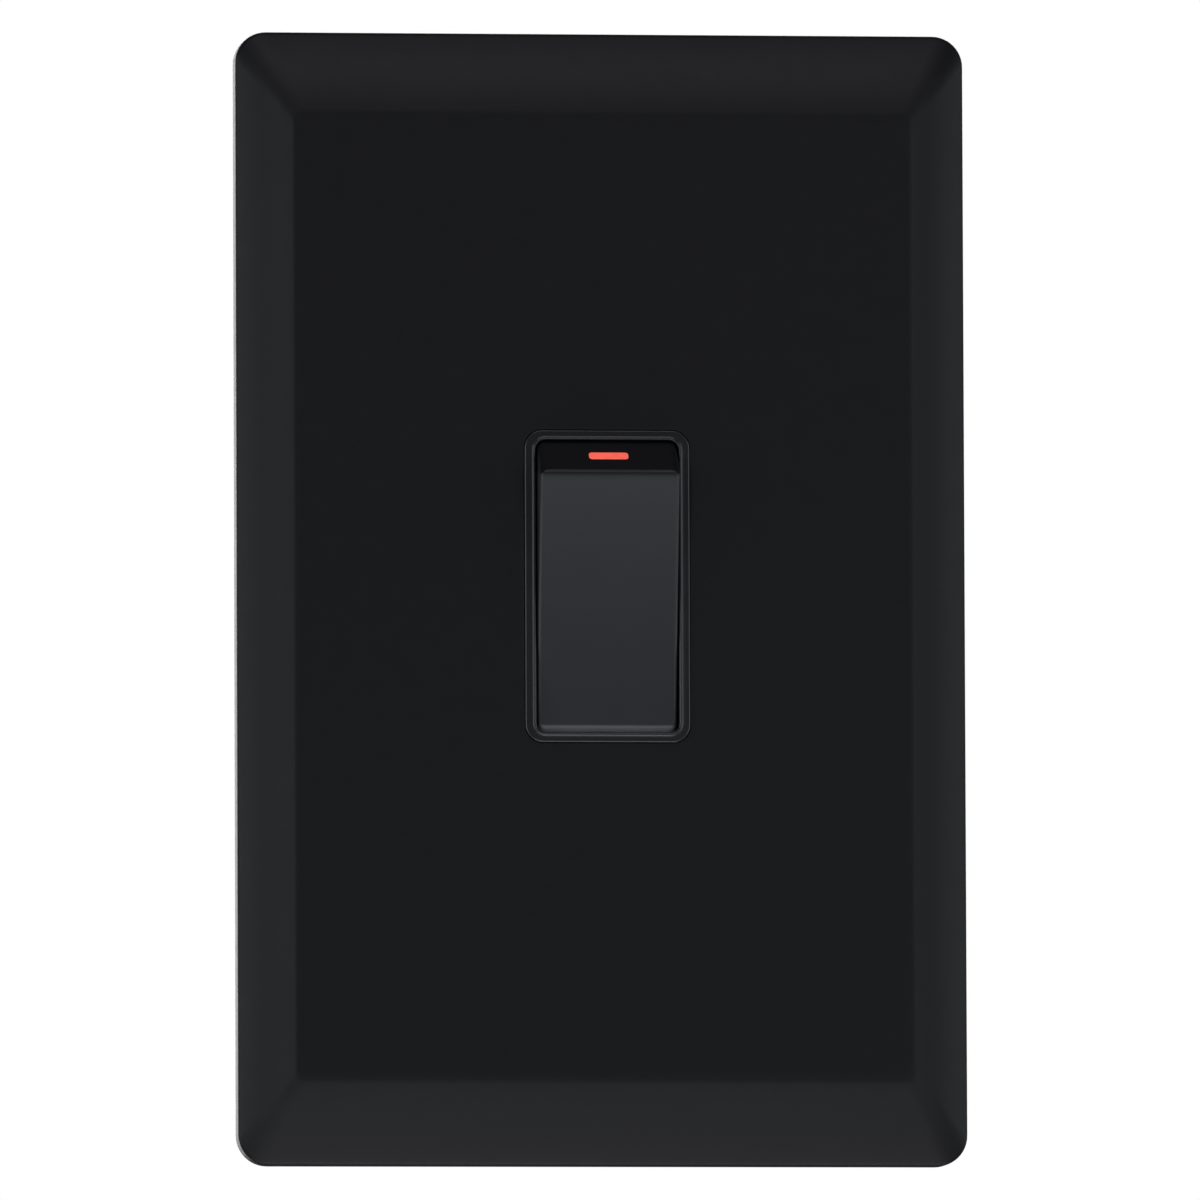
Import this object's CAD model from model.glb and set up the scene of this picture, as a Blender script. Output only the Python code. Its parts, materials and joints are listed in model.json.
import json
import math

import bmesh
import bpy
from mathutils import Matrix, Vector


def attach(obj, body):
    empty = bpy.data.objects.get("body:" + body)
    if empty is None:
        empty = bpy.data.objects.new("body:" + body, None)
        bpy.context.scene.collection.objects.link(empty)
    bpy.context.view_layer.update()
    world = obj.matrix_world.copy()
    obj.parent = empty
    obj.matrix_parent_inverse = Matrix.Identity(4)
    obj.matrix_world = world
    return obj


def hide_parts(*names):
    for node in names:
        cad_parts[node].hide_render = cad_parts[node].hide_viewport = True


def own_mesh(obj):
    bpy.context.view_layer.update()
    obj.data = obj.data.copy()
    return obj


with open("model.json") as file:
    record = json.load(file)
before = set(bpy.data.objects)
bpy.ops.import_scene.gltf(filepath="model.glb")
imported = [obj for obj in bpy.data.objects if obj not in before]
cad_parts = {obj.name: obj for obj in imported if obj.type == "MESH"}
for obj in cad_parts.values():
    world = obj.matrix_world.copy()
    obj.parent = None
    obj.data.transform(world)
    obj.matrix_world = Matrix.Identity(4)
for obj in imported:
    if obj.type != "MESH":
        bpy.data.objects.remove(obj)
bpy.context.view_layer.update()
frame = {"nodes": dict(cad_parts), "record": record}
nodes = frame["nodes"]
scene = bpy.context.scene

MM = 0.001

# ---------------------------------------------------------------- sizes, in millimetres
PLATE_A, PLATE_B, PLATE_R = 47.5, 73.5, 4.0
PLATE_DROP = -1.4                     # plate's middle below the rocker's pivot
PLATE_LEFT = -0.35                    # and to its left
PROJ, RIM = 7.2, 3.4
BORDER_X, BORDER_Z = 7.2, 10.7
IN_Y = -5.2
BEZ_Y = -7.4
BEZ_A, BEZ_B, BEZ_R = 10.75, 20.25, 2.3
PIV_Y = 1.6
R_ROCK, R_WELL = 20.6, 20.9
FACE_D = 10.6
EDGE_Z = 16.4
ARC_F, ARC_Z = 6.16, 19.66
FIL_R = 1.0
LOW_R = 2.0
LOW_F = FACE_D - LOW_R
LOW_Z = math.sqrt((R_ROCK - LOW_R) ** 2 - LOW_F ** 2)
HOLLOW = 0.5
ROCK_A = 9.1
WELL_A = 9.3
TILT = math.radians(8.5)
POLE_X = 4.4


# ---------------------------------------------------------------- materials
def new_mat(name):
    m = bpy.data.materials.new(name)
    m.use_nodes = True
    t = m.node_tree
    t.nodes.clear()
    out = t.nodes.new("ShaderNodeOutputMaterial")
    bsdf = t.nodes.new("ShaderNodeBsdfPrincipled")
    t.links.new(bsdf.outputs[0], out.inputs[0])
    return m, t, bsdf


def coords(t, scale=(1, 1, 1)):
    tc = t.nodes.new("ShaderNodeTexCoord")
    mp = t.nodes.new("ShaderNodeMapping")
    mp.inputs["Scale"].default_value = scale
    t.links.new(tc.outputs["Object"], mp.inputs["Vector"])
    return mp.outputs["Vector"]


def noise(t, vec, scale, detail=3.0, rough=0.5):
    n = t.nodes.new("ShaderNodeTexNoise")
    n.inputs["Scale"].default_value = scale
    n.inputs["Detail"].default_value = detail
    n.inputs["Roughness"].default_value = rough
    t.links.new(vec, n.inputs["Vector"])
    return n.outputs["Fac"]


def ramp(t, fac, stops):
    r = t.nodes.new("ShaderNodeValToRGB")
    while len(r.color_ramp.elements) < len(stops):
        r.color_ramp.elements.new(0.5)
    for e, (p, c) in zip(r.color_ramp.elements, stops):
        e.position = p
        e.color = (*c, 1.0)
    t.links.new(fac, r.inputs["Fac"])
    return r.outputs["Color"]


def remap(t, fac, lo, hi, a=0.0, b=1.0):
    m = t.nodes.new("ShaderNodeMapRange")
    m.inputs["From Min"].default_value = a
    m.inputs["From Max"].default_value = b
    m.inputs["To Min"].default_value = lo
    m.inputs["To Max"].default_value = hi
    t.links.new(fac, m.inputs["Value"])
    return m.outputs["Result"]


def bump(t, height, dist, strength=1.0, normal=None):
    b = t.nodes.new("ShaderNodeBump")
    b.inputs["Distance"].default_value = dist
    b.inputs["Strength"].default_value = strength
    t.links.new(height, b.inputs["Height"])
    if normal is not None:
        t.links.new(normal, b.inputs["Normal"])
    return b.outputs["Normal"]


def scaled(c, k):
    return tuple(min(1.0, x * k) for x in c)


def plastic(name, col, rough, spread=0.12, grain=3200.0, grain_mm=0.004, spec=0.5, rough_spread=0.05, coat=0.0):
    """Moulded plastic: faint tone drift, a fine spark-eroded skin and slightly uneven gloss."""
    m, t, b = new_mat(name)
    v = coords(t)
    tone = noise(t, v, 55.0, 4.0, 0.6)
    skin = noise(t, v, grain, 3.0, 0.6)
    t.links.new(ramp(t, tone, [(0.25, scaled(col, 1 - spread)), (0.75, scaled(col, 1 + spread))]), b.inputs["Base Color"])
    t.links.new(remap(t, noise(t, v, 420.0, 4.0, 0.55), rough - rough_spread, rough + rough_spread, 0.3, 0.7), b.inputs["Roughness"])
    t.links.new(bump(t, skin, grain_mm * MM, 1.0), b.inputs["Normal"])
    b.inputs["Specular IOR Level"].default_value = spec
    if coat:
        b.inputs["Coat Weight"].default_value = coat
        b.inputs["Coat Roughness"].default_value = 0.2
    return m


def metal(name, col, rough, streak=(1, 1, 1), spread=0.18, dull=None, grain=1500.0, grain_mm=0.003):
    """Metal with fine machining or drawing lines, patchy gloss and a little tarnish."""
    m, t, b = new_mat(name)
    v = coords(t, streak)
    iso = coords(t)
    lines = noise(t, v, grain, 4.0, 0.65)
    patch = noise(t, iso, 140.0, 5.0, 0.6)
    lo = dull if dull else scaled(col, 1 - 2 * spread)
    t.links.new(ramp(t, patch, [(0.28, lo), (0.5, col), (0.8, scaled(col, 1 + spread))]), b.inputs["Base Color"])
    t.links.new(remap(t, lines, rough - 0.08, rough + 0.12, 0.3, 0.7), b.inputs["Roughness"])
    t.links.new(bump(t, lines, grain_mm * MM, 1.0), b.inputs["Normal"])
    b.inputs["Metallic"].default_value = 1.0
    return m


def glow(name, col, lit, strength, rough=0.25):
    """Translucent red moulding lit from behind, a little brighter in its middle than at its ends."""
    m, t, b = new_mat(name)
    v = coords(t)
    n = noise(t, v, 900.0, 3.0, 0.5)
    t.links.new(ramp(t, n, [(0.3, scaled(col, 0.85)), (0.7, scaled(col, 1.12))]), b.inputs["Base Color"])
    t.links.new(ramp(t, n, [(0.3, scaled(lit, 0.93)), (0.7, lit)]), b.inputs["Emission Color"])
    b.inputs["Emission Strength"].default_value = strength
    t.links.new(remap(t, n, rough - 0.05, rough + 0.08, 0.3, 0.7), b.inputs["Roughness"])
    t.links.new(bump(t, n, 0.004 * MM, 1.0), b.inputs["Normal"])
    b.inputs["Subsurface Weight"].default_value = 0.15
    b.inputs["Subsurface Scale"].default_value = 0.001
    return m


def banded(name, col, bands, axis_scale, rough=0.35):
    """Small lacquered component with painted rings along Z."""
    m, t, b = new_mat(name)
    tc = t.nodes.new("ShaderNodeTexCoord")
    sep = t.nodes.new("ShaderNodeSeparateXYZ")
    t.links.new(tc.outputs["Object"], sep.inputs[0])
    f = remap(t, sep.outputs["Z"], 0.0, 1.0, *axis_scale)
    r = t.nodes.new("ShaderNodeValToRGB")
    r.color_ramp.interpolation = "CONSTANT"
    els = [(0.0, col)]
    for p, w, c in bands:
        els += [(p, c), (p + w, col)]
    while len(r.color_ramp.elements) < len(els):
        r.color_ramp.elements.new(0.5)
    for e, (p, c) in zip(r.color_ramp.elements, els):
        e.position = p
        e.color = (*c, 1.0)
    t.links.new(f, r.inputs["Fac"])
    t.links.new(r.outputs["Color"], b.inputs["Base Color"])
    n = noise(t, coords(t), 2500.0)
    t.links.new(remap(t, n, rough - 0.06, rough + 0.06, 0.3, 0.7), b.inputs["Roughness"])
    t.links.new(bump(t, n, 0.004 * MM), b.inputs["Normal"])
    return m


def rocker_skin(name, face, end, worn, rough, end_rough):
    """Satin face; the upper end round the lens is smoother and darker, and the lower edge is rubbed pale.

    Both masks follow the part's own shape."""
    m, t, b = new_mat(name)
    v = coords(t)
    tc = t.nodes.new("ShaderNodeTexCoord")
    mp = t.nodes.new("ShaderNodeMapping")
    mp.vector_type = "TEXTURE"
    mp.inputs["Location"].default_value = (0, PIV_Y * MM, 0)
    mp.inputs["Rotation"].default_value = (TILT, 0, 0)
    t.links.new(tc.outputs["Object"], mp.inputs["Vector"])
    sep = t.nodes.new("ShaderNodeSeparateXYZ")
    t.links.new(mp.outputs["Vector"], sep.inputs[0])
    mask = remap(t, sep.outputs["Z"], 0.0, 1.0, (EDGE_Z - 0.75) * MM, (EDGE_Z - 0.25) * MM)
    tone = noise(t, v, 90.0, 4.0, 0.6)

    def blend(fac, c0, c1):
        x = t.nodes.new("ShaderNodeMix")
        x.data_type = "RGBA"
        t.links.new(fac, x.inputs[0])
        t.links.new(c0, x.inputs[6])
        t.links.new(c1, x.inputs[7])
        return x.outputs[2]

    c0 = ramp(t, tone, [(0.25, scaled(face, 0.96)), (0.75, scaled(face, 1.04))])
    c1 = ramp(t, tone, [(0.25, scaled(end, 0.96)), (0.75, scaled(end, 1.04))])
    low = remap(t, sep.outputs["Z"], 0.0, 1.0, -LOW_Z * MM, -(LOW_Z + 0.85) * MM)
    c2 = ramp(t, tone, [(0.25, scaled(worn, 0.9)), (0.75, scaled(worn, 1.1))])
    t.links.new(blend(mask, blend(low, c0, c2), c1), b.inputs["Base Color"])
    gloss = noise(t, v, 420.0, 4.0, 0.55)
    r0 = remap(t, gloss, rough - 0.012, rough + 0.012, 0.3, 0.7)
    r1 = remap(t, gloss, end_rough - 0.012, end_rough + 0.012, 0.3, 0.7)
    t.links.new(blend(mask, r0, r1), b.inputs["Roughness"])
    t.links.new(bump(t, noise(t, v, 4200.0, 3.0, 0.6), 0.0008 * MM, 1.0), b.inputs["Normal"])
    b.inputs["Specular IOR Level"].default_value = 0.6
    return m


MATS = {
    "plate_black": plastic("plate_black", (0.0060, 0.0061, 0.0064), 0.46, spread=0.05, grain=4200.0, grain_mm=0.0012, spec=0.45, rough_spread=0.015),
    "frame_black": plastic("frame_black", (0.0150, 0.0150, 0.0158), 0.52, spread=0.12, grain=2600.0, grain_mm=0.005),
    "bezel_black": plastic("bezel_black", (0.0250, 0.0280, 0.0285), 0.24, spread=0.05, grain=4200.0, grain_mm=0.0008, spec=0.9, rough_spread=0.015),
    "base_black": plastic("base_black", (0.0240, 0.0240, 0.0246), 0.46, spread=0.16, grain=1800.0, grain_mm=0.006),
    "rocker_black": rocker_skin("rocker_black", (0.0370, 0.0420, 0.0428), (0.0100, 0.0102, 0.0115), (0.36, 0.378, 0.382), 0.34, 0.42),
    "lens_red": glow("lens_red", (0.55, 0.05, 0.035), (0.83, 0.125, 0.09), 1.0),
    "plunger_nylon": plastic("plunger_nylon", (0.70, 0.66, 0.56), 0.42, spread=0.08, grain=2200.0, grain_mm=0.004),
    "spring_steel": metal("spring_steel", (0.52, 0.52, 0.53), 0.3, grain=2600.0),
    "contact_copper": metal("contact_copper", (0.72, 0.36, 0.20), 0.34, streak=(1, 1, 0.12), dull=(0.42, 0.2, 0.12)),
    "contact_silver": metal("contact_silver", (0.82, 0.81, 0.79), 0.36, dull=(0.5, 0.49, 0.47)),
    "strap_brass": metal("strap_brass", (0.78, 0.56, 0.24), 0.34, streak=(1, 1, 0.12), dull=(0.5, 0.34, 0.15)),
    "terminal_brass": metal("terminal_brass", (0.76, 0.55, 0.24), 0.32, streak=(1, 0.1, 1), dull=(0.52, 0.36, 0.16)),
    "screw_steel": metal("screw_steel", (0.66, 0.66, 0.63), 0.3, dull=(0.48, 0.48, 0.44)),
    "board_green": plastic("board_green", (0.015, 0.10, 0.045), 0.3, spread=0.25, grain=1200.0, grain_mm=0.01, coat=0.5),
    "led_red": glow("led_red", (0.5, 0.02, 0.015), (0.6, 0.03, 0.02), 0.35, 0.15),
    "resistor_tan": banded("resistor_tan", (0.55, 0.40, 0.22),
                           [(0.16, 0.09, (0.35, 0.03, 0.02)), (0.36, 0.09, (0.35, 0.03, 0.02)), (0.56, 0.09, (0.30, 0.12, 0.02)), (0.80, 0.08, (0.55, 0.38, 0.08))],
                           (0.0214, 0.0258)),
    "diode_black": banded("diode_black", (0.02, 0.02, 0.02), [(0.72, 0.14, (0.6, 0.6, 0.58))], (0.0216, 0.0256)),
    "lead_red": plastic("lead_red", (0.40, 0.025, 0.02), 0.4, spread=0.15, grain=1600.0, grain_mm=0.006),
}

NODE_SLOT = {s["node"]: s["material_slot"] for s in frame["record"]["subparts"]}


# ---------------------------------------------------------------- mesh helpers
def ring(a, b, r, y, zc=0.0, nc=12, ne=6, xc=0.0):
    """Rounded rectangle in X and Z at depth y: nc steps round each corner, ne along each edge."""
    pts = []
    for c in range(4):
        sx = 1 if c in (0, 3) else -1
        sz = 1 if c < 2 else -1
        cx, cz = sx * (a - r), sz * (b - r)
        for k in range(nc + 1):
            t = math.radians(90 * c + 90 * k / nc)
            pts.append((cx + r * math.cos(t) + xc, y, cz + r * math.sin(t) + zc))
        n = (c + 1) % 4
        nx = 1 if n in (0, 3) else -1
        nz = 1 if n < 2 else -1
        t = math.radians(90 * (c + 1))
        p = (cx + r * math.cos(t), cz + r * math.sin(t))
        q = (nx * (a - r) + r * math.cos(t), nz * (b - r) + r * math.sin(t))
        for k in range(1, ne):
            f = k / ne
            pts.append((p[0] + (q[0] - p[0]) * f + xc, y, p[1] + (q[1] - p[1]) * f + zc))
    return pts


def circle_like(r, y, cx, cz, n):
    """n points round a circle, starting at the same place as ring() does."""
    return [(cx + r * math.cos(2 * math.pi * k / n), y, cz + r * math.sin(2 * math.pi * k / n)) for k in range(n)]


class Shell:
    """Collects vertices in millimetres and faces, then makes one object."""

    def __init__(self):
        self.v, self.f = [], []

    def add(self, verts, faces):
        o = len(self.v)
        self.v += [tuple(p) for p in verts]
        self.f += [tuple(i + o for i in face) for face in faces]

    def loft(self, rings, closed=False, cap0=False, cap1=False):
        m, n = len(rings[0]), len(rings)
        faces = []
        for i in range(n if closed else n - 1):
            j = (i + 1) % n
            for k in range(m):
                l = (k + 1) % m
                faces.append((i * m + k, i * m + l, j * m + l, j * m + k))
        if cap0:
            faces.append(tuple(range(m)))
        if cap1:
            faces.append(tuple(reversed([(n - 1) * m + k for k in range(m)])))
        self.add([p for r in rings for p in r], faces)

    def grid(self, rows, flip=False):
        m = len(rows[0])
        faces = []
        for i in range(len(rows) - 1):
            for k in range(m - 1):
                f = (i * m + k, i * m + k + 1, (i + 1) * m + k + 1, (i + 1) * m + k)
                faces.append(tuple(reversed(f)) if flip else f)
        self.add([p for r in rows for p in r], faces)

    def lathe(self, prof, axis, centre, n=48):
        """prof is (radius, along) pairs; both ends are capped."""
        rings = []
        for r, h in prof:
            row = []
            for k in range(n):
                t = 2 * math.pi * k / n
                c, s = r * math.cos(t), r * math.sin(t)
                if axis == "y":
                    row.append((centre[0] + c, centre[1] + h, centre[2] - s))
                elif axis == "x":
                    row.append((centre[0] + h, centre[1] + c, centre[2] + s))
                else:
                    row.append((centre[0] + c, centre[1] + s, centre[2] + h))
            rings.append(row)
        self.loft(rings, cap0=True, cap1=True)

    def rbox(self, x0, x1, y0, y1, z0, z1, r=0.4, seg=3):
        """Box whose edges are all rounded."""
        bm = bmesh.new()
        bmesh.ops.create_cube(bm, size=1.0)
        for v in bm.verts:
            v.co = Vector(((x0 + x1) / 2 + v.co.x * (x1 - x0), (y0 + y1) / 2 + v.co.y * (y1 - y0), (z0 + z1) / 2 + v.co.z * (z1 - z0)))
        bmesh.ops.bevel(bm, geom=bm.edges[:], offset=r, segments=seg, profile=0.5, affect="EDGES")
        bm.verts.index_update()
        self.add([v.co[:] for v in bm.verts], [[v.index for v in f.verts] for f in bm.faces])
        bm.free()

    def map(self, fn, start=0):
        self.v[start:] = [fn(p) for p in self.v[start:]]

    def object(self, name, body, slot, replaces=(), smooth=35.0, weld=0.0005):
        me = bpy.data.meshes.new(name)
        me.from_pydata([tuple(c * MM for c in p) for p in self.v], [], self.f)
        bm = bmesh.new()
        bm.from_mesh(me)
        bmesh.ops.remove_doubles(bm, verts=bm.verts, dist=weld * MM)
        bmesh.ops.recalc_face_normals(bm, faces=bm.faces)
        bm.to_mesh(me)
        bm.free()
        me.validate()
        o = bpy.data.objects.new(name, me)
        scene.collection.objects.link(o)
        finish_piece(o, body, slot, replaces, smooth)
        return o


def finish_piece(o, body, slot, replaces=(), smooth=35.0):
    o.data.materials.clear()
    o.data.materials.append(MATS[slot])
    if smooth:
        o.data.set_sharp_from_angle(angle=math.radians(smooth))
        o.data.shade_smooth() if hasattr(o.data, "shade_smooth") else None
        for p in o.data.polygons:
            p.use_smooth = True
    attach(o, body)
    if replaces:
        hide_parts(*replaces)


# ---------------------------------------------------------------- front plate
def rise(t):
    return 1.45 * t - 0.45 * t * t


def plate():
    s = Shell()
    a, b, up = PLATE_A, PLATE_B, PROJ - RIM
    zc, xc = PLATE_DROP, PLATE_LEFT
    R = []
    R.append(ring(a - 0.15, b - 0.15, PLATE_R - 0.15, 0.0, zc, xc=xc))
    R.append(ring(a, b, PLATE_R, -0.15, zc, xc=xc))
    R.append(ring(a, b, PLATE_R, -(RIM - 0.5), zc, xc=xc))
    # rim's rounded edge, from the side wall into the slope
    for k in range(1, 7):
        f = k / 7
        w = 0.5 * (1 - math.cos(f * math.pi / 2 * 0.72))
        R.append(ring(a - w * 0.55, b - w * 0.55, PLATE_R - w * 0.5, -(RIM - 0.5 + 0.55 * math.sin(f * math.pi / 2)), zc, xc=xc))
    n = 30
    for k in range(0, n + 1):
        t = 0.035 + (0.955 - 0.035) * k / n
        R.append(ring(a - BORDER_X * t - 0.05, b - BORDER_Z * t - 0.05, PLATE_R - 2.7 * t, -(RIM + up * rise(t) * 0.985 + 0.02), zc, xc=xc))
    # soft crease where the slope meets the flat
    for t, y in ((0.985, PROJ - 0.075), (1.02, PROJ - 0.032), (1.06, PROJ - 0.010), (1.11, PROJ - 0.001)):
        R.append(ring(a - BORDER_X * t, b - BORDER_Z * t, 1.28, -y, zc, xc=xc))
    R.append(ring(a - BORDER_X - 1.3, b - BORDER_Z - 1.8, 1.2, -PROJ, zc, xc=xc))
    R.append(ring(a - BORDER_X - 1.8, b - BORDER_Z - 2.4, 1.2, -PROJ, zc, xc=xc))
    oa, ob, orr = BEZ_A + 0.06, BEZ_B + 0.06, BEZ_R + 0.06
    R.append(ring(oa + 1.2, ob + 1.2, orr + 1.0, -PROJ))
    R.append(ring(oa + 0.5, ob + 0.5, orr + 0.45, -PROJ))
    for k in range(0, 6):
        t = k / 5 * math.pi / 2
        R.append(ring(oa + 0.1 * (1 - math.sin(t)), ob + 0.1 * (1 - math.sin(t)), orr + 0.1 * (1 - math.sin(t)), -(PROJ - 0.1 * (1 - math.cos(t)))))
    R.append(ring(oa, ob, orr, IN_Y - 0.1))
    R.append(ring(oa + 0.15, ob + 0.15, orr + 0.1, IN_Y))
    R.append(ring(oa + 1.5, ob + 1.5, orr + 1.0, IN_Y))
    R.append(ring(a - BORDER_X - 1.6, b - BORDER_Z - 1.6, 1.2, IN_Y, zc, xc=xc))
    R.append(ring(a - BORDER_X - 0.7, b - BORDER_Z - 0.6, 1.4, IN_Y + 0.05, zc, xc=xc))
    for k in range(1, 8):
        f = k / 8
        R.append(ring(a - BORDER_X - 0.7 + (BORDER_X - 1.2) * f, b - BORDER_Z - 0.6 + (BORDER_Z - 1.3) * f, 1.4 + 0.9 * f, IN_Y + 2.5 * f, zc, xc=xc))
    R.append(ring(a - 1.95, b - 1.95, PLATE_R - 1.7, IN_Y + 2.45, zc, xc=xc))
    R.append(ring(a - 1.9, b - 1.9, PLATE_R - 1.7, -0.15, zc, xc=xc))
    R.append(ring(a - 1.8, b - 1.8, PLATE_R - 1.6, 0.0, zc, xc=xc))
    s.loft(R, closed=True)
    for sx in (-1, 1):
        for z in (-40, 40):
            s.rbox(*sorted((sx * 42.9, sx * 44.1)), -4.2, -0.7, z - 5, z + 5, 0.25)
            s.rbox(*sorted((sx * 42.2, sx * 43.3)), -1.6, -0.7, z - 5, z + 5, 0.2)
            s.rbox(*sorted((sx * 44.0, sx * 44.9)), -3.6, -1.4, z - 0.5, z + 0.5, 0.15)
    for sz in (-1, 1):
        for x in (-18, 18):
            s.rbox(x - 5, x + 5, -4.0, -0.7, *sorted((sz * 68.9, sz * 70.1)), 0.25)
            s.rbox(x - 5, x + 5, -1.6, -0.7, *sorted((sz * 68.2, sz * 69.3)), 0.2)
    return s.object("front_plate_skin", "front_plate", "plate_black", ("front_plate",), 38.0)


# ---------------------------------------------------------------- bezel
def bezel():
    s = Shell()
    nc, ne = 10, 10
    lip, wr = 0.22, 1.3
    bead_r, bead_up = 0.24, 0.1

    def well_b(y):
        return math.sqrt(R_WELL ** 2 - (y - PIV_Y) ** 2) if y < PIV_Y else R_WELL

    R = []
    R.append(ring(12.3, 22.3, 2.6, -0.6, nc=nc, ne=ne))
    R.append(ring(12.3, 22.3, 2.6, -4.8, nc=nc, ne=ne))
    R.append(ring(12.1, 22.1, 2.4, -5.0, nc=nc, ne=ne))
    R.append(ring(11.0, 20.7, 2.4, -5.0, nc=nc, ne=ne))
    R.append(ring(BEZ_A, BEZ_B, BEZ_R, -5.2, nc=nc, ne=ne))
    for k in range(0, 7):
        t = k / 6 * math.pi / 2
        w = 0.2 * (1 - math.cos(t))
        R.append(ring(BEZ_A - w, BEZ_B - w, BEZ_R - w, BEZ_Y + 0.2 * (1 - math.sin(t)), nc=nc, ne=ne))
    R.append(ring(BEZ_A - 0.42, BEZ_B - 0.42, BEZ_R - 0.35, BEZ_Y, nc=nc, ne=ne))
    # soft bead round the well, a tenth of a millimetre proud of the face
    b0 = well_b(BEZ_Y + lip)
    foot = bead_r * math.sin(math.radians(46))
    R.append(ring(WELL_A + bead_r + foot + 0.10, b0 + bead_r + foot + 0.10, wr + bead_r + foot, BEZ_Y, nc=nc, ne=ne))
    for k in range(0, 15):
        t = math.radians(46 - 136 * k / 14)
        w = bead_r + bead_r * math.sin(t)
        y = BEZ_Y - bead_up + bead_r * (1 - math.cos(t))
        R.append(ring(WELL_A + w, b0 + w, wr + w, min(y, BEZ_Y) if t > 0 else y, nc=nc, ne=ne))
    lip = bead_r - bead_up
    for k in range(1, 13):
        y = BEZ_Y + lip + (PIV_Y - BEZ_Y - lip) * k / 12
        R.append(ring(WELL_A, well_b(y), wr * (1 - 0.75 * k / 12), y, nc=nc, ne=ne))
    R.append(ring(WELL_A, R_WELL, 0.3, 2.2, nc=nc, ne=ne))
    R.append(ring(22.8, 36.8, 1.8, 2.2, nc=nc, ne=ne))
    R.append(ring(23.0, 37.0, 2.0, 2.0, nc=nc, ne=ne))
    R.append(ring(23.0, 37.0, 2.0, -0.4, nc=nc, ne=ne))
    R.append(ring(22.8, 36.8, 1.8, -0.6, nc=nc, ne=ne))
    s.loft(R, closed=True)
    # ears with their screw holes
    for sx in (-1, 1):
        for sz in (-1, 1):
            m = 48
            cx, cz = sx * 28.5, sz * 22.0

            def rr(a, b, r, y):
                p = ring(a, b, r, y, nc=6, ne=6)
                return [(x + sx * 26.25, yy, z + sz * 22.0) for x, yy, z in p]

            m = len(rr(6.25, 4.5, 1.0, 0))

            def cc(r, y):
                return [(cx + r * math.cos(2 * math.pi * (k - 0) / m), y, cz + r * math.sin(2 * math.pi * (k - 0) / m)) for k in range(m)]

            s.loft([rr(6.05, 4.3, 0.9, -0.6), rr(6.25, 4.5, 1.1, -0.4), rr(6.25, 4.5, 1.1, 2.0), rr(6.05, 4.3, 0.9, 2.2),
                    cc(1.9, 2.2), cc(1.7, 2.0), cc(1.7, -0.4), cc(1.9, -0.6)], closed=True)
            s.rbox(*sorted((sx * 12.0, sx * 16.0)), 2.0, 9.45, *sorted((sz * 28.0, sz * 32.0)), 0.4)
    # bearing cheeks, each with a blind bore for the rocker's stub axle
    for sx in (-1, 1):
        rows = []
        m = 4 * 7 + 4 * 5

        def sq(x, h=4.0, r=0.6):
            out = []
            for c in range(4):
                sy = 1 if c in (0, 3) else -1
                szz = 1 if c < 2 else -1
                for k in range(12):
                    t = math.radians(90 * c + 90 * k / 11)
                    out.append((x, 2.25 + sy * (2.35 - r) + r * math.cos(t), szz * (h - r) + r * math.sin(t)))
            return out

        def co(x, r):
            return [(x, PIV_Y + r * math.cos(2 * math.pi * k / 48), r * math.sin(2 * math.pi * k / 48)) for k in range(48)]

        x0, x1 = sx * WELL_A, sx * 12.3
        s.loft([co(sx * 12.0, 0.01), co(sx * 12.0, 1.55), co(sx * 9.55, 1.55), co(x0, 1.75), sq(x0), sq(x1 - sx * 0.3), sq(x1, 3.8)], cap0=True, cap1=True)
    return s.object("rocker_bezel_moulding", "switch_module", "bezel_black", ("rocker_bezel",), 40.0)


# ---------------------------------------------------------------- rocker
SL = (ARC_Z - EDGE_Z, FACE_D - ARC_F)
SLN = math.hypot(*SL)
FIL_Z = EDGE_Z + (-FIL_R + SL[0] / SLN * FIL_R) / (SL[1] / SLN)
SLOPE_A = math.atan2(SL[1], SL[0])


def at_rocker(p):
    x, y, z = p
    c, s = math.cos(TILT), math.sin(TILT)
    return (x, y * c - z * s + PIV_Y, y * s + z * c)


def half_profile():
    """Upper half of the rocker's outline from the middle of the face to the skirt's rear edge: (y, z, ny, nz, corner radius)."""
    pts = []
    hr = (FIL_Z ** 2 + HOLLOW ** 2) / (2 * HOLLOW)
    cy = -(FACE_D - HOLLOW) - hr
    for k in range(0, 25):
        z = (FIL_Z - 0.35) * k / 24
        y = cy + math.sqrt(hr * hr - z * z)
        # the hollow faces forward and towards the middle
        pts.append((y, z, -math.sqrt(1 - (z / hr) ** 2), -z / hr, 0.45))
    fy = -(FACE_D - FIL_R)
    n = 12
    for k in range(1, n + 1):
        a = SLOPE_A * k / n
        pts.append((fy - FIL_R * math.cos(a), FIL_Z + FIL_R * math.sin(a), -math.cos(a), math.sin(a), 0.45 + 0.55 * k / n))
    y0, z0 = pts[-1][0], pts[-1][1]
    ny, nz = -math.cos(SLOPE_A), math.sin(SLOPE_A)
    y1, z1 = -ARC_F, ARC_Z
    for k in range(1, 13):
        f = k / 13
        pts.append((y0 + (y1 - y0) * f, z0 + (z1 - z0) * f, ny, nz, 1.0))
    a0 = math.atan2(ARC_Z, ARC_F)
    a1 = math.atan2(math.sqrt(R_ROCK ** 2 - 1), 1.0)
    for k in range(0, 9):
        a = a0 + (a1 - a0) * k / 8
        f = min(1.0, k / 2.0)
        na = SLOPE_A + (a - SLOPE_A) * f
        pts.append((-R_ROCK * math.cos(a), R_ROCK * math.sin(a), -math.cos(na), math.sin(na), 1.0))
    return pts


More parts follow.
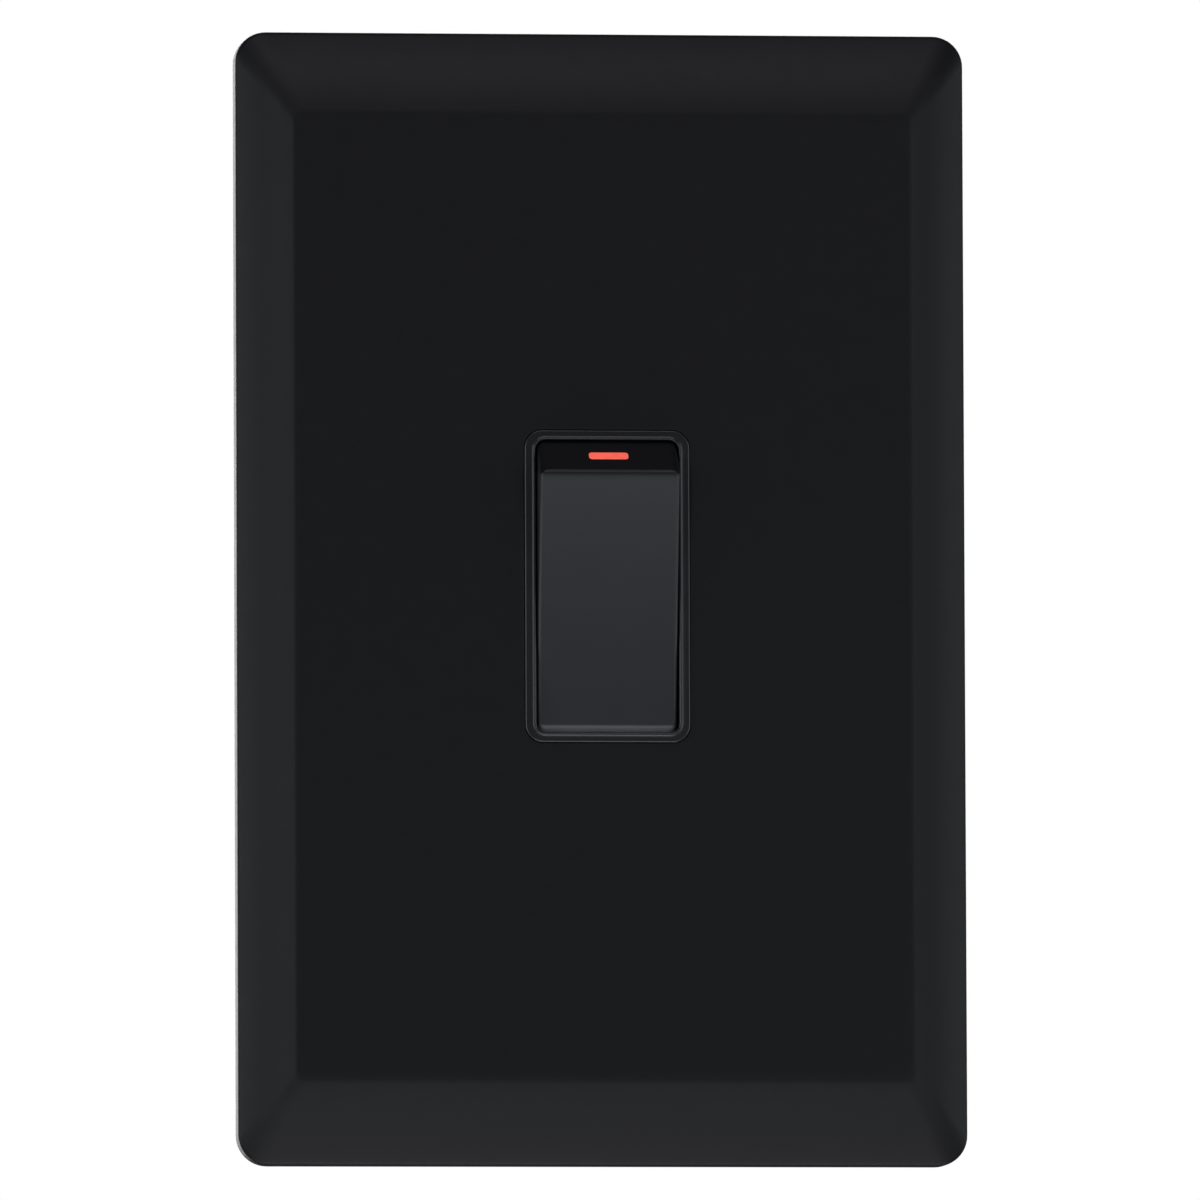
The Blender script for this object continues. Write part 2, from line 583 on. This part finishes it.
def low_profile():
    """Lower half, given with z upwards: the same hollow face, then one large rounding onto the end arc."""
    pts = []
    hr = (FIL_Z ** 2 + HOLLOW ** 2) / (2 * HOLLOW)
    cy = -(FACE_D - HOLLOW) - hr
    for k in range(0, 25):
        z = (FIL_Z - 0.35) * k / 24
        pts.append((cy + math.sqrt(hr * hr - z * z), z, -math.sqrt(1 - (z / hr) ** 2), -z / hr, 0.45))
    a1 = math.atan2(LOW_Z, LOW_F)
    n = 18
    for k in range(0, n + 1):
        a = a1 * k / n
        pts.append((-LOW_F - LOW_R * math.cos(a), LOW_Z + LOW_R * math.sin(a), -math.cos(a), math.sin(a), 0.45 + 0.55 * min(1.0, k / n * 2)))
    a2 = math.atan2(math.sqrt(R_ROCK ** 2 - 1), 1.0)
    for k in range(1, 11):
        a = a1 + (a2 - a1) * k / 10
        pts.append((-R_ROCK * math.cos(a), R_ROCK * math.sin(a), -math.cos(a), math.sin(a), 1.0))
    return pts


def rocker():
    s = Shell()
    hp = half_profile()
    prof = [(y, -z, ny, -nz, r) for y, z, ny, nz, r in reversed(low_profile()[1:])] + hp
    ds = [0.0, 0.006, 0.02, 0.045, 0.08, 0.13, 0.19, 0.26, 0.34, 0.45, 0.58, 0.75, 1.0, 1.6, 3.5]
    xs = [-(ROCK_A - d) for d in ds] + [0.0] + [ROCK_A - d for d in reversed(ds)]

    def inset(r, x):
        d = ROCK_A - abs(x)
        return 0.0 if d >= r else r - math.sqrt(max(0.0, r * r - (r - d) ** 2))

    rows = [[(x, y - ny * inset(r, x), z - nz * inset(r, x)) for x in xs] for y, z, ny, nz, r in prof]
    # the skirt's rear edge stays in one plane
    for row in (rows[0], rows[-1]):
        for i, p in enumerate(row):
            row[i] = (p[0], -1.0, p[2])
    s.grid(rows)
    left = [r[0] for r in rows]
    right = [r[-1] for r in rows]
    s.add(left, [tuple(range(len(left)))])
    s.add(right, [tuple(reversed(range(len(right))))])
    # hollow inside
    ri = R_ROCK - 1.6
    ip = [(-1.0, -math.sqrt(ri * ri - 1)), (-3.0, -math.sqrt(ri * ri - 9)), (-ARC_F + 0.9, -ARC_Z + 1.5), (-(FACE_D - 2.0), -FIL_Z + 0.2)]
    ip = ip + [(y, -z) for y, z in reversed(ip)]
    xi = ROCK_A - 1.6
    s.grid([[(x, y, z) for x in (-xi, xi)] for y, z in ip], flip=True)
    s.add([(-xi, y, z) for y, z in ip], [tuple(range(len(ip)))])
    s.add([(xi, y, z) for y, z in ip], [tuple(reversed(range(len(ip))))])
    zi = math.sqrt(ri * ri - 1)
    for row, zs in ((rows[0], -zi), (rows[-1], zi)):
        n = len(row)
        s.add(row + [(xi, -1.0, zs), (-xi, -1.0, zs)], [tuple(range(n + 2))])
    for row, sx in ((left, -1), (right, 1)):
        s.add([row[0], row[-1], (sx * xi, -1.0, zi), (sx * xi, -1.0, -zi)], [(0, 1, 2, 3)])
    body = len(s.v)
    for sx in (-1, 1):
        # hub and stub axle
        s.lathe([(2.9, 0.0), (3.2, 0.3), (3.2, 1.45), (3.05, 1.6), (1.5, 1.6), (1.5, 3.9), (1.3, 4.1)] if sx > 0 else
                [(1.3, -4.1), (1.5, -3.9), (1.5, -1.6), (3.05, -1.6), (3.2, -1.45), (3.2, -0.3), (2.9, 0.0)],
                "x", (sx * (ROCK_A - 1.6), 0, 0), 48)
        # plunger's tube
        prof_t = [(2.3, -8.9), (2.5, -8.7), (2.5, 6.75), (2.3, 7.0), (1.75, 7.0), (1.62, 6.85), (1.62, -8.4), (0.01, -8.4)]
        s.lathe(prof_t, "y", (sx * POLE_X, 0, 0), 40)
    s.rbox(-ROCK_A + 1.2, ROCK_A - 1.2, -9.1, -0.5, -0.8, 0.8, 0.2)
    s.map(at_rocker)
    return s.object("rocker_cap", "rocker", "rocker_black", ("rocker",), 30.0)


def on_slope(p, bf, bz):
    """Place a point given beside the sloped end: x across, y out of the slope, z along it."""
    x, y, z = p
    c, s = math.cos(-SLOPE_A), math.sin(-SLOPE_A)
    return at_rocker((x, y * c - z * s - bf, y * s + z * c + bz))


def lens():
    s = Shell()
    f1 = FACE_D - FIL_R + math.cos(SLOPE_A) * FIL_R
    z1 = FIL_Z + math.sin(SLOPE_A) * FIL_R
    bf = f1 - 0.5 * (f1 - ARC_F)
    bz = z1 + 0.5 * (ARC_Z - z1)

    def slab(a, b, r, y):
        return [(x, y, z) for x, _, z in ring(a, b, r, 0, nc=8, ne=4)]

    R = [slab(2.25, 0.5, 0.35, 4.6), slab(2.6, 0.7, 0.45, 4.3), slab(2.6, 0.7, 0.45, 0.06)]
    for k in range(1, 7):
        t = k / 6 * math.pi / 2
        R.append(slab(2.6 - 0.18 * (1 - math.cos(t)), 0.7 - 0.18 * (1 - math.cos(t)), 0.45 - 0.15 * (1 - math.cos(t)), 0.06 - 0.1 * math.sin(t)))
    s.loft(R, cap0=True, cap1=True)
    s.map(lambda p: on_slope(p, bf, bz))
    return s.object("indicator_bar", "rocker", "lens_red", ("indicator_lens",), 40.0)


# ---------------------------------------------------------------- plungers and springs
def plunger(sx, name, node, body):
    s = Shell()
    prof = [(0.01, -1.4), (1.35, -1.4), (1.55, -1.2), (1.55, 9.4), (1.4, 10.0), (1.4, 11.6)]
    for k in range(1, 11):
        t = k / 10 * math.pi / 2
        prof.append((max(0.01, 1.4 * math.cos(t)), 11.6 + 1.4 * math.sin(t)))
    s.lathe(prof, "y", (sx * POLE_X, 0, 0), 56)
    s.map(at_rocker)
    return s.object(name, body, "plunger_nylon", (node,), 40.0)


def spring(sx, name, node):
    s = Shell()
    y0, y1, turns, seg, side, R, w = -8.1, -1.7, 8, 36, 12, 1.15, 0.2
    n = turns * seg
    rows = []
    for k in range(n + 1):
        t = k / n
        e = 1 / turns
        u = t * 0.45 if t < e else (1 - (1 - t) * 0.45 if t > 1 - e else e * 0.45 + (t - e) * (1 - 0.9 * e) / (1 - 2 * e))
        a = 2 * math.pi * turns * t
        c, sn = math.cos(a), math.sin(a)
        row = []
        for j in range(side):
            b = 2 * math.pi * j / side
            row.append(((R + w * math.cos(b)) * c + sx * POLE_X, y0 + (y1 - y0) * u + w * math.sin(b), (R + w * math.cos(b)) * sn))
        rows.append(row)
    s.loft(rows, cap0=True, cap1=True)
    s.map(at_rocker)
    o = s.object(name, "rocker", "spring_steel", (node,), 60.0)
    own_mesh(o)
    return o


# ---------------------------------------------------------------- screws
def helix_rows(y0, y1, rmax, rmin, pitch, n=40, per=12, cx=0.0, cz=0.0):
    rows = []
    steps = int(round((y1 - y0) / pitch * per))
    for i in range(steps + 1):
        y = y0 + (y1 - y0) * i / steps
        row = []
        for k in range(n):
            th = 2 * math.pi * k / n
            f = (y / pitch - k / n) % 1.0
            tri = 1 - abs(2 * f - 1)
            tri = min(1.0, max(0.0, (tri - 0.12) / 0.72))
            fade = min(1.0, (y1 - y) / (pitch * 1.5) * 0.9 + 0.1, (y - y0) / pitch + 0.15)
            r = rmin + (rmax - rmin) * tri * fade
            row.append((cx + r * math.cos(th), y, cz - r * math.sin(th)))
        rows.append(row)
    return rows


def cut(o, cutter):
    mod = o.modifiers.new("cut", "BOOLEAN")
    mod.operation = "DIFFERENCE"
    mod.solver = "MANIFOLD"
    mod.object = cutter
    dg = bpy.context.evaluated_depsgraph_get()
    dg.update()
    me = bpy.data.meshes.new_from_object(o.evaluated_get(dg))
    o.modifiers.clear()
    o.data = me
    bpy.data.objects.remove(cutter)


def fixing_screws():
    s = Shell()
    for sz in (-1, 1):
        cz = sz * 60.3
        prof = [(0.01, -4.45), (1.5, -4.43), (2.2, -4.33), (2.75, -4.1), (3.1, -3.8), (3.27, -3.45), (3.3, -3.1), (3.3, -2.75), (3.15, -2.6),
                (1.62, -2.6), (1.62, 0.3)]
        rings = []
        for r, y in prof:
            rings.append([(r * math.cos(2 * math.pi * k / 40), y, cz - r * math.sin(2 * math.pi * k / 40)) for k in range(40)])
        rings += helix_rows(0.5, 20.9, 1.75, 1.42, 0.6, cz=cz)
        rings += [[(r * math.cos(2 * math.pi * k / 40), y, cz - r * math.sin(2 * math.pi * k / 40)) for k in range(40)] for r, y in ((1.3, 21.3), (1.05, 22.0), (0.01, 22.0))]
        s.loft(rings, cap0=True, cap1=True)
    o = s.object("fixing_screw_pair", "switch_module", "screw_steel", ("fixing_screws",), 50.0)
    c = Shell()
    for sz in (-1, 1):
        for a in (0, math.pi / 2):
            top, bot = -4.7, -3.3
            L, W = 1.9, 0.38
            pts = []
            for y, l, w in ((top, L, W), (bot, L * 0.45, W * 0.8)):
                for x, z in ((-l, -w), (l, -w), (l, w), (-l, w)):
                    pts.append((x * math.cos(a) - z * math.sin(a), y + (0.0007 if a else 0), x * math.sin(a) + z * math.cos(a) + sz * 60.3))
            c.add(pts, [(0, 1, 2, 3), (7, 6, 5, 4), (0, 4, 5, 1), (1, 5, 6, 2), (2, 6, 7, 3), (3, 7, 4, 0)])
    me = bpy.data.meshes.new("cutter")
    me.from_pydata([tuple(v * MM for v in p) for p in c.v], [], c.f)
    bm = bmesh.new()
    bm.from_mesh(me)
    bmesh.ops.recalc_face_normals(bm, faces=bm.faces)
    bm.to_mesh(me)
    bm.free()
    k = bpy.data.objects.new("cutter", me)
    scene.collection.objects.link(k)
    cut(o, k)
    o.data.materials.clear()
    o.data.materials.append(MATS["screw_steel"])
    o.data.set_sharp_from_angle(angle=math.radians(40))
    return o


# ---------------------------------------------------------------- carried-over parts
def dress(node, width=0.25, seg=3, angle=32.0):
    o = nodes[node]
    slot = NODE_SLOT[node]
    if not o.data.materials:
        o.data.materials.append(MATS[slot])
    for ms in o.material_slots:
        ms.material = MATS[slot]
    if width:
        w = o.modifiers.new("weld", "WELD")
        w.merge_threshold = 0.000002
        b = o.modifiers.new("edge", "BEVEL")
        b.width = width * MM
        b.segments = seg
        b.limit_method = "ANGLE"
        b.angle_limit = math.radians(angle)
        b.harden_normals = False
        b.use_clamp_overlap = True
        b.miter_outer = "MITER_ARC"
    return o


plate()
bezel()
rocker()
lens()
plunger(-1, "plunger_pin_line", "plunger_line", "plunger_line")
plunger(1, "plunger_pin_neutral", "plunger_neutral", "plunger_neutral")
spring(-1, "plunger_coil_line", "plunger_spring_line")
spring(1, "plunger_coil_neutral", "plunger_spring_neutral")
fixing_screws()

WIDTH = {
    "carrier_frame": 0.25, "switch_base": 0.4, "module_screws": 0.15,
    "contact_arm_line": 0.12, "contact_arm_neutral": 0.12, "moving_tip_line": 0.2, "moving_tip_neutral": 0.2,
    "load_strap_line": 0.12, "load_strap_neutral": 0.12, "supply_strap_line": 0.12, "supply_strap_neutral": 0.12,
    "fixed_tip_line": 0.15, "fixed_tip_neutral": 0.15,
    "load_terminal_line": 0.3, "load_terminal_neutral": 0.3, "supply_terminal_line": 0.3, "supply_terminal_neutral": 0.3,
    "load_screw_line": 0.2, "load_screw_neutral": 0.2, "supply_screw_line": 0.2, "supply_screw_neutral": 0.2,
    "earth_terminal_left": 0.25, "earth_terminal_right": 0.25, "earth_holder_left": 0.2, "earth_holder_right": 0.2, "earth_screw_left": 0.15, "earth_screw_right": 0.15,
    "indicator_board": 0.08, "indicator_led": 0.0, "indicator_resistor": 0.15, "indicator_diode": 0.15, "indicator_leads": 0.08,
}
for n, w in WIDTH.items():
    dress(n, w)

# ---------------------------------------------------------------- floor, light and camera
floor_me = bpy.data.meshes.new("floor")
floor_me.from_pydata([(-30, -30, -3.4), (30, -30, -3.4), (30, 30, -3.4), (-30, 30, -3.4)], [], [(0, 1, 2, 3)])
floor = bpy.data.objects.new("floor", floor_me)
scene.collection.objects.link(floor)
fm, ft, fb = new_mat("floor_pale")
fn = noise(ft, coords(ft), 1.5, 3.0)
ft.links.new(ramp(ft, fn, [(0.3, (0.86, 0.86, 0.86)), (0.7, (0.9, 0.9, 0.9))]), fb.inputs["Base Color"])
fb.inputs["Roughness"].default_value = 0.9
floor_me.materials.append(fm)

world = bpy.data.worlds.new("studio")
scene.world = world
world.use_nodes = True
wt = world.node_tree
wt.nodes.clear()
wo = wt.nodes.new("ShaderNodeOutputWorld")
mixw = wt.nodes.new("ShaderNodeMixShader")
lp = wt.nodes.new("ShaderNodeLightPath")
bg_cam = wt.nodes.new("ShaderNodeBackground")
bg_cam.inputs["Color"].default_value = (1, 1, 1, 1)
bg_cam.inputs["Strength"].default_value = 1.0
bg_env = wt.nodes.new("ShaderNodeBackground")
tcw = wt.nodes.new("ShaderNodeTexCoord")
sepw = wt.nodes.new("ShaderNodeSeparateXYZ")
wt.links.new(tcw.outputs["Generated"], sepw.inputs[0])
mr = wt.nodes.new("ShaderNodeMapRange")
mr.inputs["From Min"].default_value = -0.1
mr.inputs["From Max"].default_value = 0.6
mr.inputs["To Min"].default_value = 0.0
mr.inputs["To Max"].default_value = 1.0
wt.links.new(sepw.outputs["Y"], mr.inputs["Value"])
cr = wt.nodes.new("ShaderNodeValToRGB")
cr.color_ramp.elements[0].position = 0.0
cr.color_ramp.elements[0].color = (0.012, 0.012, 0.012, 1)
cr.color_ramp.elements[1].position = 1.0
cr.color_ramp.elements[1].color = (0.22, 0.22, 0.22, 1)
wt.links.new(mr.outputs[0], cr.inputs["Fac"])
wt.links.new(cr.outputs["Color"], bg_env.inputs["Color"])
bg_env.inputs["Strength"].default_value = 1.0
wt.links.new(lp.outputs["Is Camera Ray"], mixw.inputs[0])
wt.links.new(bg_env.outputs[0], mixw.inputs[1])
wt.links.new(bg_cam.outputs[0], mixw.inputs[2])
wt.links.new(mixw.outputs[0], wo.inputs["Surface"])


def area(name, loc, target, size, energy, col=(1, 1, 1)):
    d = bpy.data.lights.new(name, "AREA")
    d.shape = "RECTANGLE"
    d.size, d.size_y = size
    d.energy = energy
    d.color = col
    o = bpy.data.objects.new(name, d)
    scene.collection.objects.link(o)
    o.location = loc
    o.rotation_mode = "QUATERNION"
    o.rotation_quaternion = (Vector(target) - Vector(loc)).to_track_quat("-Z", "Y")
    o.visible_camera = False
    return o


def around(name, theta, phi, size, energy, col=(1, 1, 1), dist=1.2):
    """Soft box at theta degrees from straight in front, towards phi: 0 right, 90 up, 180 left, 270 down."""
    t, p = math.radians(theta), math.radians(phi)
    return area(name, (dist * math.sin(t) * math.cos(p), -dist * math.cos(t), dist * math.sin(t) * math.sin(p)), (0, 0, 0), size, energy, col)


COOL = (0.95, 1.0, 1.05)
LILAC = (0.99, 0.96, 1.10)
around("soft_right_front", 35, 0, (0.35, 0.9), 1.1, COOL)
around("soft_left_front", 35, 180, (0.35, 0.9), 1.4, COOL)
around("soft_right", 72, 0, (0.35, 0.9), 0.95, COOL)
around("soft_left", 72, 180, (0.35, 0.9), 1.9, COOL)
around("soft_right_rim", 85, 0, (0.35, 0.9), 0.6, COOL)
around("soft_low_front", 30, 270, (0.9, 0.3), 1.15, COOL)
around("soft_low", 65, 270, (0.9, 0.3), 2.1, LILAC)
around("soft_top", 48, 90, (0.9, 0.3), 1.45, LILAC)
area("soft_back", (0.3, 1.8, 0.7), (0, 0, 0), (1.6, 1.6), 22.0)
area("soft_back_left", (-0.8, 1.8, 0.0), (0, 0, 0), (1.0, 1.4), 10.0)

AZ, EL, DIST, ROLL = -6.5, -4.0, 3.2, -0.22
WIDTH_M = 0.15557
TARGET = Vector((PLATE_LEFT * MM, -0.0017, PLATE_DROP * MM))
a, el = math.radians(AZ), math.radians(EL)
back = Vector((math.sin(a) * math.cos(el), -math.cos(a) * math.cos(el), math.sin(el)))
cam_d = bpy.data.cameras.new("camera")
cam = bpy.data.objects.new("camera", cam_d)
scene.collection.objects.link(cam)
cam_d.sensor_width = 36.0
cam_d.lens = 36.0 * DIST / WIDTH_M
cam_d.dof.use_dof = False
cam_d.clip_start, cam_d.clip_end = 0.01, 100.0
cam.location = TARGET + back * DIST
cam.rotation_mode = "QUATERNION"
cam.rotation_quaternion = (-back).to_track_quat("-Z", "Y") @ Matrix.Rotation(math.radians(ROLL), 3, "Z").to_quaternion()
scene.camera = cam
scene.view_settings.view_transform = "Standard"
scene.view_settings.look = "None"
